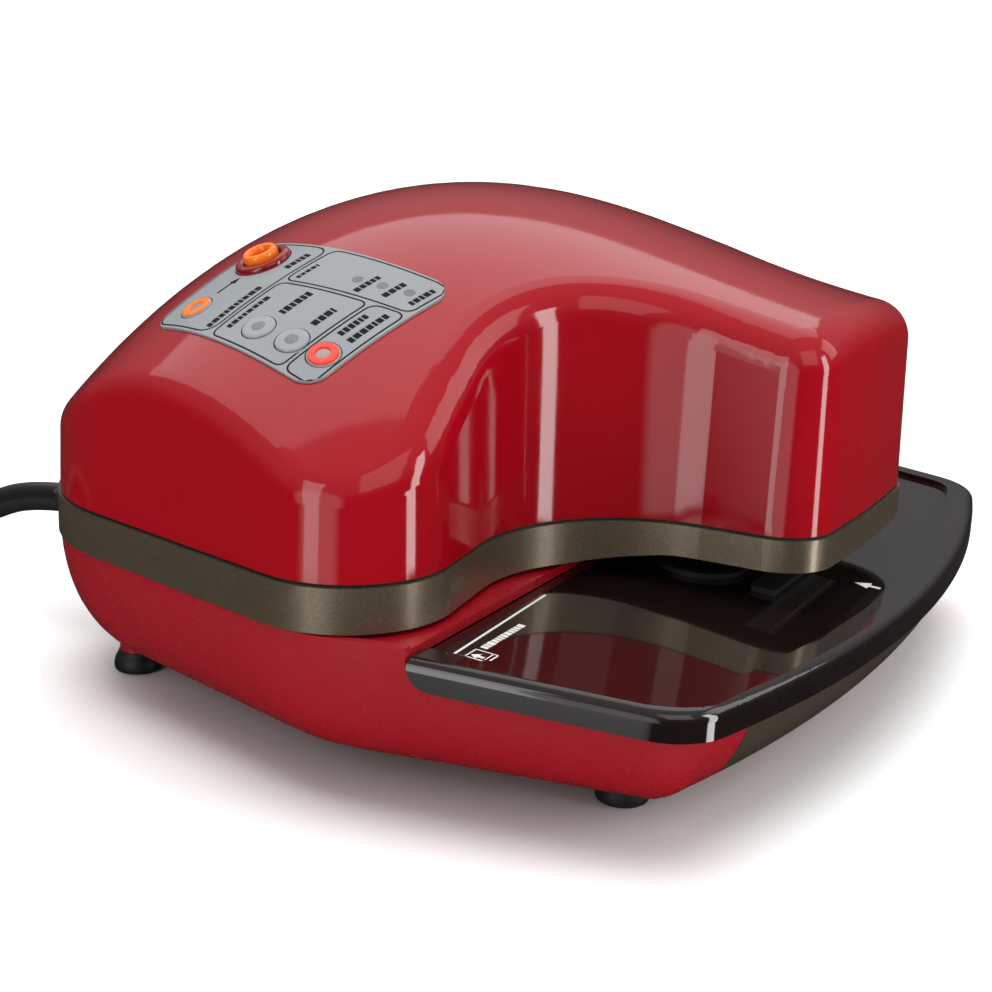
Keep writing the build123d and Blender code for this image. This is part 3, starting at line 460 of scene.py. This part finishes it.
# plug body: rounded sections from its neck to its face
sections = [(plug_y, 11.0, 6.6, 3.1), (plug_y - 0.5, 12.0, 7.6, 3.6)]
for k in range(4):                       # ribs of the plug's own strain relief
    y = plug_y - 1.6 - k * 2.3
    sections += [(y, 12.2 + k, 7.9 + k * 0.6, 3.6), (y - 0.5, 11.2 + k, 7.0 + k * 0.6, 3.3),
                 (y - 1.2, 11.3 + k, 7.1 + k * 0.6, 3.3), (y - 1.7, 12.6 + k, 8.2 + k * 0.6, 3.7)]
sections += [(plug_y - 12.5, 18.5, 11.6, 4.6), (plug_y - 15.0, 22.5, 13.6, 5.0), (plug_y - 17.5, 24.2, 14.5, 5.2)]
for k in range(4):                       # finger grooves
    y = plug_y - 19.0 - k * 2.6
    sections += [(y, 24.5, 14.7, 5.2), (y - 0.5, 23.7, 13.9, 5.0), (y - 1.2, 23.7, 13.9, 5.0),
                 (y - 1.7, 24.5, 14.7, 5.2)]
sections += [(plug_y - 31.0, 24.4, 14.6, 5.0), (plug_y - 35.0, 23.7, 14.1, 4.8), (plug_y - 35.8, 22.9, 13.3, 4.5),
             (plug_y - plug_length, 21.5, 12.0, 4.0)]
plug = joined("plug_body", [loft(sections)])
paint(plug, "plug_plastic")
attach(plug, "root")
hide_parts("power_plug")


def blade(x):
    """One flat blade with a rounded, thinned tip and a round hole."""
    thick, high, long, sunk = 1.5, 6.4, 16.0, 0.6
    tip_round, hole_radius, hole_from_tip, hole_points = 2.4, 1.5, 4.6, 20
    top = plug_y - plug_length + sunk
    work = bmesh.new()
    outline = [(top, -high / 2), (top, high / 2)]
    tip = plug_y - plug_length - long
    for k in range(9):
        a = math.radians(90 - 180 * k / 8)
        side = 1 if a > 0 else -1 if a < 0 else 0
        outline.append((tip + tip_round - tip_round * math.cos(a),
                        (high / 2 - tip_round) * side + tip_round * math.sin(a)))
    hole = []
    for k in range(hole_points):
        a = 2 * math.pi * k / hole_points
        hole.append((tip + hole_from_tip + hole_radius * math.cos(a), hole_radius * math.sin(a)))
    edges = []
    for loop in (outline, hole):
        made = [work.verts.new((0, y * mm, (plug_z + z) * mm)) for y, z in loop]
        edges += [work.edges.new((made[i], made[(i + 1) % len(made)])) for i in range(len(made))]
    bmesh.ops.triangle_fill(work, use_beauty=True, edges=edges)
    faces = list(work.faces)
    grown = bmesh.ops.extrude_face_region(work, geom=faces)
    for vert in [g for g in grown["geom"] if isinstance(g, bmesh.types.BMVert)]:
        vert.co.x += thick * mm
    middle = thick / 2 * mm
    for vert in work.verts:
        if vert.co.y < (tip + 2.2) * mm:            # the tip thins
            vert.co.x = middle + (vert.co.x - middle) * 0.55
    bmesh.ops.recalc_face_normals(work, faces=work.faces)
    mesh = bpy.data.meshes.new("blade")
    work.to_mesh(mesh)
    work.free()
    points = [v.co + Vector((x * mm - middle, 0, 0)) for v in mesh.vertices]
    faces = [tuple(f.vertices) for f in mesh.polygons]
    bpy.data.meshes.remove(mesh)
    return points, faces


half_blade_gap = 6.35
blades = joined("plug_blade_pair", [blade(plug_x - half_blade_gap), blade(plug_x + half_blade_gap)])
for face in blades.data.polygons:
    face.use_smooth = False
paint(blades, "brass_blades")
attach(blades, "root")
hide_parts("plug_blades")


def tie(name, angle):
    """A hook-and-loop tie round the coil's turns."""
    middle, half, low, high, wall, wide = 54.0, 10.9, 0.35, 11.35, 0.35, 9.0
    out = Vector((math.cos(angle), math.sin(angle), 0))
    along = Vector((-math.sin(angle), math.cos(angle), 0))
    centre = Vector((coil_x * mm, coil_y * mm, 0)) + out * middle * mm
    ring = rounded_rectangle(2 * half, high - low, 3.2, 8)
    profile = [(0.0, -wide / 2), (wall, -wide / 2 + 0.3), (wall, wide / 2 - 0.3), (0.0, wide / 2)]
    points, faces = [], []
    for a, b in ring:
        normal = Vector((a / half, b * 2 / (high - low))).normalized()
        for lift, w in profile:
            height = (low + high) / 2 + b + normal.y * lift
            p = centre + out * ((a + normal.x * lift) * mm) + along * (w * mm) + Vector((0, 0, height * mm))
            p.z = max(p.z, 0.00004)         # stays on the surface
            points.append(p)
    count, size = len(ring), len(profile)
    for i in range(count):
        j = (i + 1) % count
        for k in range(size):
            n = (k + 1) % size
            faces.append((i * size + k, i * size + n, j * size + n, j * size + k))
    made = made_mesh(name, points, faces)
    paint(made, "black_rubber", looks["black_plastic"])
    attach(made, "root")
    return made


ties = [tie("cord_tie_1", math.radians(75)), tie("cord_tie_2", math.radians(285))]

# ---------------------------------------------------------------- rubber feet
foot_corners = [(0, 0.05, 0), (6.4, 0.05, 0.5), (7.3, 0.6, 0.7), (7.5, 2.4, 0.9), (7.0, 4.3, 0.8), (6.2, 5.6, 0.6),
                (5.9, 6.55, 0.2), (0, 6.55, 0)]
foot_places = [(x, y) for x in (-93.2, 93.2) for y in (-72.6, 94.0)]
feet = joined("rubber_foot_set", [
    revolved(rounded_profile(foot_corners), (x * mm, y * mm, 0), (0, 0, 1), 48) for x, y in foot_places])
paint(feet, "black_rubber")
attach(feet, "root")
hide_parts("rubber_feet")


# ---------------------------------------------------------------- buttons, port and status windows
def top_of(node, axis):
    """Middle of a CAD node's top, along an axis out of the surface."""
    axis = Vector(axis).normalized()
    places = [v.co.copy() for v in nodes[node].data.vertices]
    reach = max(p.dot(axis) for p in places)
    top = [p for p in places if p.dot(axis) > reach - 0.00002]
    return sum(top, Vector()) / len(top), axis


presses = {joint["child"]: Vector(joint["axis"]) for joint in frame["joints"] if joint["name"].endswith("_press")}
button_slots = {"flexi_tube_button": "orange_plastic", "moist_button": "grey_button", "dry_button": "grey_button",
                "stop_button": "red_button"}
cap_look = moulded("button_window", (0.30, 0.215, 0.195), 0.22, vary=0.06, vary_scale=300.0, coat=0.4)
grey_cap = moulded("grey_window", (0.13, 0.13, 0.135), 0.22, vary=0.06, vary_scale=300.0, coat=0.4)
button_deep = 8.0               # from a button's foot to its top, in mm
stem = [(0, 0, 0), (2.2, 0, 0), (2.2, 2.8, 0), (4.7, 2.8, 0.2)]
grey_top = [(4.7, 7.45, 0.5), (4.2, 7.75, 0.4), (3.2, 7.85, 0.3), (2.05, 7.85, 0.1), (0, 7.82, 0)]
rimmed_top = [(4.7, 7.35, 0.3), (4.3, 7.5, 0.1), (0, 7.5, 0)]
rim_corners = [(2.0, 7.45, 0), (4.3, 7.45, 0), (4.3, 7.75, 0.25), (3.9, 7.95, 0.25), (2.3, 7.98, 0.2), (2.0, 7.8, 0.1)]
for node, slot in button_slots.items():
    body = "press_" + node
    grey = slot == "grey_button"
    top, axis = top_of(node, -presses[body])
    foot = top - axis * button_deep * mm
    if not grey:
        rim = lathe(node + "_rim", rim_corners, foot, axis, 72)
        paint(rim, slot)
        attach(rim, body)
    ring = lathe(node + "_ring", stem + (grey_top if grey else rimmed_top), foot, axis, 72)
    paint(ring, "grey_button")
    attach(ring, body)
    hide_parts(node)
    low = 7.84 if grey else 7.6
    window = [(0, low - 0.1, 0), (1.98, low - 0.1, 0), (1.98, low + 0.03, 0.04), (1.4, low + 0.1, 0.3),
              (0, low + 0.13, 0)]
    cap = lathe(node + "_window", window, foot, axis, 56)
    paint(cap, "lens_plastic", grey_cap if grey else cap_look)
    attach(cap, body)

port_mount = [mount for mount in frame["record"]["mounts"] if mount["name"] == "port"][0]
port_axis = Vector(port_mount["axis"]).normalized()
port_place = Vector(port_mount["pos_m"]) + port_axis * 2.35 * mm      # where the port's axis meets the head
collar_corners = [(5.45, -5.0, 0), (8.15, -5.0, 0), (8.25, 0.6, 0.2), (8.1, 1.6, 0.5), (7.3, 2.25, 0.5),
                  (6.1, 2.2, 0.4), (5.5, 1.5, 0.3)]
nozzle_corners = [(2.8, -9.0, 0), (5.15, -9.0, 0), (5.15, 3.4, 0.5), (4.7, 4.25, 0.6), (3.6, 4.25, 0.4),
                  (3.1, 3.5, 0.3), (2.8, 2.6, 0.3)]
collar = lathe("port_collar_ring", collar_corners, port_place, port_axis, 80)
dark_red = moulded("dark_red_gloss", (0.20, 0.003, 0.006), 0.1, vary=0.04, grain=300.0, coat=0.3)
paint(collar, "red_base", dark_red)
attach(collar, "root")
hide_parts("port_collar")
nozzle = lathe("port_nozzle_ring", nozzle_corners, port_place, port_axis, 80)
paint(nozzle, "orange_plastic")
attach(nozzle, "root")
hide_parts("port_nozzle")


# ---------------------------------------------------------------- printed marks
def surface_tree(node):
    """A CAD node's surface, to lay marks on."""
    mesh = nodes[node].data
    return BVHTree.FromPolygons([v.co for v in mesh.vertices], [tuple(f.vertices) for f in mesh.polygons])


def strip(places, width, closed=False):
    """Left and right edges of a stroke along places on a flat sheet."""
    out = []
    count = len(places)
    for i, p in enumerate(places):
        before = places[(i - 1) % count] if closed or i else p
        after = places[(i + 1) % count] if closed or i < count - 1 else p
        d = Vector(after) - Vector(before)
        d.normalize()
        n = Vector((-d.y, d.x)) * width / 2
        out.append((Vector(p) + n, Vector(p) - n))
    return out


def printed(name, strokes, lay, slot, look):
    """Thin ink that follows a surface.

    A stroke is (left, right) pairs in mm and whether it closes. lay(place, lift) puts a place on the surface."""
    thick, sunk = 0.05, -0.02
    points, faces = [], []
    for pairs, closed in strokes:
        start = len(points)
        for left, right in pairs:
            points += [lay(left, thick), lay(right, thick), lay(right, sunk), lay(left, sunk)]
        count = len(pairs)
        for i in range(count if closed else count - 1):
            a, b = start + 4 * i, start + 4 * ((i + 1) % count)
            for k in range(4):
                n = (k + 1) % 4
                faces.append((a + k, a + n, b + n, b + k))
        if not closed:
            faces.append(tuple(start + k for k in range(4)))
            faces.append(tuple(start + 4 * (count - 1) + k for k in range(4)))
    made = made_mesh(name, points, faces, smooth=False)
    paint(made, slot, look)
    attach(made, "root")


mark_step = 1.5                 # mm between the points of a long mark, so that it follows the surface


def straight(a, b, width):
    """A straight stroke."""
    a, b = Vector(a), Vector(b)
    count = max(2, int((b - a).length / mark_step) + 1)
    return strip([a.lerp(b, i / (count - 1)) for i in range(count)], width), False


def frame_line(corners, corner, width):
    """A box outline with rounded corners, through corners in mm going round anticlockwise."""
    corners = [Vector(c) for c in corners]
    out = []
    for i, here in enumerate(corners):
        before, after = corners[i - 1] - here, corners[(i + 1) % len(corners)] - here
        start, end = here + before.normalized() * corner, here + after.normalized() * corner
        for k in range(9):
            t = k / 8
            out.append(start * (1 - t) ** 2 + here * 2 * t * (1 - t) + end * t**2)
    dense = []
    for i, p in enumerate(out):
        n = out[(i + 1) % len(out)]
        parts = max(1, int((n - p).length / mark_step))
        dense += [p.lerp(n, k / parts) for k in range(parts)]
    return strip(dense, width, True), True


def arrow_head(tip, back, half):
    """A filled arrow head from its tip to the middle of its back."""
    tip, back = Vector(tip), Vector(back)
    d = (back - tip).normalized()
    n = Vector((-d.y, d.x))
    return [(tip + n * 0.02, tip - n * 0.02), (back + n * half, back - n * half)], False


def caption(x, y, length, height, seed):
    """A row of short blocks that stands for a caption; it spells nothing."""
    draw = random.Random(seed)
    out, at = [], x
    while at < x + length - 0.6:
        wide = min(draw.uniform(1.0, 2.1), x + length - at)
        out.append(straight((at, y), (at + wide, y), height * draw.uniform(0.86, 1.0)))
        at += wide + 0.42
    return out


# the label lies on the head's crown, a cylinder along y; its own across and up directions are turned on it
crown_radius, crown_top_z, label_sunk = 227.0, 147.9, 0.1
crown_axis_z, crown_here = crown_top_z - crown_radius, crown_radius - label_sunk
panel_x, panel_y, panel_turn = -100.0, 31.0, math.radians(-14.5)
panel_z = crown_axis_z + math.sqrt(crown_here**2 - panel_x**2)
panel_normal = Vector((panel_x, 0, panel_z - crown_axis_z)).normalized()
panel_across = Vector((math.cos(panel_turn), math.sin(panel_turn), 0))
panel_across = (panel_across - panel_normal * panel_across.dot(panel_normal)).normalized()
panel_up = panel_normal.cross(panel_across)
panel_tree = surface_tree("control_panel")


def on_panel(place, lift):
    """A point on the label, at (across, up) mm from its middle, raised by lift mm."""
    above = 12
    flat = Vector((panel_x, panel_y, panel_z)) + panel_across * place[0] + panel_up * place[1]
    start = (flat + panel_normal * above) * mm
    hit, normal, _, _ = panel_tree.ray_cast(start, -panel_normal)
    if hit is None:
        hit, normal, _, _ = panel_tree.find_nearest(start - panel_normal * above * mm)
    if normal.dot(panel_normal) < 0:
        normal = -normal
    return hit + normal * lift * mm


ink = moulded("black_ink", (0.008, 0.008, 0.009), 0.6, spec=0.1, vary=0.1, vary_scale=400.0)


def inner_edge(v):
    """Where the label's slanted inner edge line runs, in mm across, at v mm along it."""
    return 28.5 - (v + 33.0) * 11.0 / 67.6


line_width = 0.5
marks = [
    frame_line([(-24.1, 8.4), (inner_edge(8.4), 8.4), (inner_edge(34.6), 34.6), (-24.2, 34.8)], 5.5, line_width),
    frame_line([(-24.0, -21.6), (8.2, -21.6), (1.8, 7.0), (-24.1, 7.0)], 2.6, line_width),
    frame_line([(-23.9, -32.9), (11.2, -32.9), (8.7, -22.9), (-24.0, -22.9)], 3.2, line_width),
    frame_line([(12.3, -32.9), (inner_edge(-32.9), -32.9), (inner_edge(7.0), 7.0), (3.2, 7.0)], 3.0, line_width),
    straight((-8.8, 23.6), (-3.4, 23.2), 0.75),
    arrow_head((-0.5, 23.0), (-3.5, 23.2), 1.35),
]
# (across, up, length, height) of each caption
caption_places = [
    (-22.0, 11.0, 20.5, 2.1), (8.0, 12.2, 8.6, 2.4), (-20.0, 4.2, 15.5, 1.9), (-8.6, -5.2, 11.6, 2.6),
    (-7.4, -16.6, 8.0, 2.6), (-6.0, -25.4, 10.4, 2.2), (-6.4, -29.4, 14.6, 2.2), (5.6, 4.4, 8.0, 1.5),
    (9.8, -14.8, 9.8, 2.0), (13.0, -22.4, 8.0, 2.0), (15.2, -30.2, 9.0, 2.0)]
first_seed = 11
for n, (x, y, length, height) in enumerate(caption_places):
    marks += caption(x, y, length, height, first_seed + n)
printed("panel_print", marks, on_panel, "panel_label", ink)

tray_tree = surface_tree("bag_tray")


def on_tray(place, lift):
    """A point on the tray's top, at (x, y) mm, raised by lift mm."""
    start = Vector((place[0], place[1], 80.0)) * mm
    hit, normal, _, _ = tray_tree.ray_cast(start, Vector((0, 0, -1)))
    if hit is None:
        hit, normal, _, _ = tray_tree.find_nearest(Vector((place[0], place[1], 50.0)) * mm)
    return hit + Vector((0, 0, lift * mm))


white_ink = moulded("white_ink", (0.72, 0.72, 0.70), 0.45, spec=0.3, vary=0.05, vary_scale=400.0)
# the line that a bag's edge goes to, a small box with an arrow in it, and an arrow at the tray's front edge
tray_marks = [
    straight((-134.6, -41.0), (-77.4, -38.8), 0.7),
    frame_line([(-133.0, -50.0), (-124.4, -50.0), (-124.4, -43.6), (-133.0, -43.6)], 0.3, 0.4),
    straight((-131.6, -48.7), (-131.6, -43.9), 0.3), straight((-131.6, -48.7), (-124.7, -48.7), 0.3),
    straight((-128.2, -48.0), (-128.2, -46.2), 1.1), arrow_head((-128.2, -44.3), (-128.2, -46.4), 1.8),
    straight((-4.0, -112.2), (-4.0, -108.6), 1.5), arrow_head((-4.0, -104.4), (-4.0, -108.9), 2.7),
]
tray_marks += caption(-122.6, -44.7, 21.0, 2.2, 71)
printed("tray_print", tray_marks, on_tray, "black_gloss", white_ink)

# ---------------------------------------------------------------- floor, light and air
floor = made_mesh("floor", [(-6, -6, 0), (6, -6, 0), (6, 6, 0), (-6, 6, 0)], [(0, 1, 2, 3)])
floor_look, floor_tree, floor_shader = new_material("pale_floor")
floor_cloud = ranged(floor_tree, noise(floor_tree, object_coordinates(floor_tree), 2.0), 0, 1)
floor_colour = mixed(floor_tree, floor_cloud, (0.90, 0.90, 0.90), (0.93, 0.93, 0.93))
floor_tree.links.new(floor_colour, floor_shader.inputs["Base Color"])
floor_shader.inputs["Roughness"].default_value = 0.9
floor_shader.inputs["Specular IOR Level"].default_value = 0.1
floor.data.materials.append(floor_look)
floor.visible_glossy = False

# The camera sees plain white. Reflections see a room that is dark below, lighter above and pale on the left.
world = bpy.data.worlds.new("studio")
world.use_nodes = True
scene.world = world
air = world.node_tree
air.nodes.clear()
out = air.nodes.new("ShaderNodeOutputWorld")
seen = air.nodes.new("ShaderNodeBackground")
seen.inputs["Color"].default_value = (1, 1, 1, 1)
seen.inputs["Strength"].default_value = 1.0
felt = air.nodes.new("ShaderNodeBackground")
place = air.nodes.new("ShaderNodeTexCoord")
parts = air.nodes.new("ShaderNodeSeparateXYZ")
air.links.new(place.outputs["Generated"], parts.inputs["Vector"])
height_ramp = air.nodes.new("ShaderNodeValToRGB")
stops = [(0.0, 0.02), (0.30, 0.03), (0.50, 0.05), (0.60, 0.16), (0.72, 0.40), (1.0, 0.60)]
for element, (position, value) in zip(height_ramp.color_ramp.elements, (stops[0], stops[-1])):
    element.position = position
    element.color = (value, value, value, 1)
for position, value in stops[1:-1]:
    height_ramp.color_ramp.elements.new(position).color = (value, value, value, 1)
air.links.new(ranged(air, parts.outputs["Z"], 0.0, 1.0, -1.0, 1.0), height_ramp.inputs["Fac"])
left = air.nodes.new("ShaderNodeMapRange")
left.interpolation_type = "SMOOTHSTEP"
for key, number in (("From Min", -0.885), ("From Max", -0.945), ("To Min", 0.0), ("To Max", 1.0)):
    left.inputs[key].default_value = number
air.links.new(parts.outputs["X"], left.inputs["Value"])
wall_bright = 1.5
both = air.nodes.new("ShaderNodeMix")
both.data_type = "RGBA"
both.inputs["B"].default_value = (wall_bright, wall_bright, wall_bright, 1)
air.links.new(left.outputs["Result"], both.inputs["Factor"])
air.links.new(height_ramp.outputs["Color"], both.inputs["A"])
air.links.new(both.outputs["Result"], felt.inputs["Color"])
felt.inputs["Strength"].default_value = 0.8
rays = air.nodes.new("ShaderNodeLightPath")
choose = air.nodes.new("ShaderNodeMixShader")
air.links.new(rays.outputs["Is Camera Ray"], choose.inputs["Fac"])
air.links.new(felt.outputs["Background"], choose.inputs[1])
air.links.new(seen.outputs["Background"], choose.inputs[2])
air.links.new(choose.outputs["Shader"], out.inputs["Surface"])


def softbox(name, place, aim, wide, high, power):
    """A rectangular light of wide by high metres at place, aimed at a point, with its power in watts."""
    data = bpy.data.lights.new(name, "AREA")
    data.shape = "RECTANGLE"
    data.size, data.size_y = wide, high
    data.energy = power
    light = bpy.data.objects.new(name, data)
    scene.collection.objects.link(light)
    light.location = place
    light.rotation_mode = "QUATERNION"
    light.rotation_quaternion = (Vector(aim) - Vector(place)).to_track_quat("-Z", "Y")
    light.visible_camera = False


softbox("overhead", (0.55, 0.75, 1.7), (0, 0.05, 0.1), 3.0, 1.8, 15)
softbox("front_strip", (-0.02, -0.62, 0.10), (-0.10, -0.02, 0.09), 0.12, 0.7, 1.9)
softbox("left_strip", (-0.95, 0.10, 0.25), (-0.12, 0.02, 0.1), 0.25, 0.9, 1.6)
softbox("fill", (-0.9, -1.2, 1.2), (0, 0, 0.08), 1.2, 1.2, 4)
softbox("front_right", (0.7, -1.0, 0.9), (0, -0.05, 0.08), 0.8, 0.8, 3)
# lights the floor and the object evenly, and shows in no reflection
sun_data = bpy.data.lights.new("even_light", "SUN")
sun_data.energy = 2.4
sun_data.angle = math.radians(50)
sun = bpy.data.objects.new("even_light", sun_data)
scene.collection.objects.link(sun)
sun.location = (0, 0, 2)
sun.visible_glossy = False

scene.view_settings.view_transform = "Standard"
scene.view_settings.look = "None"
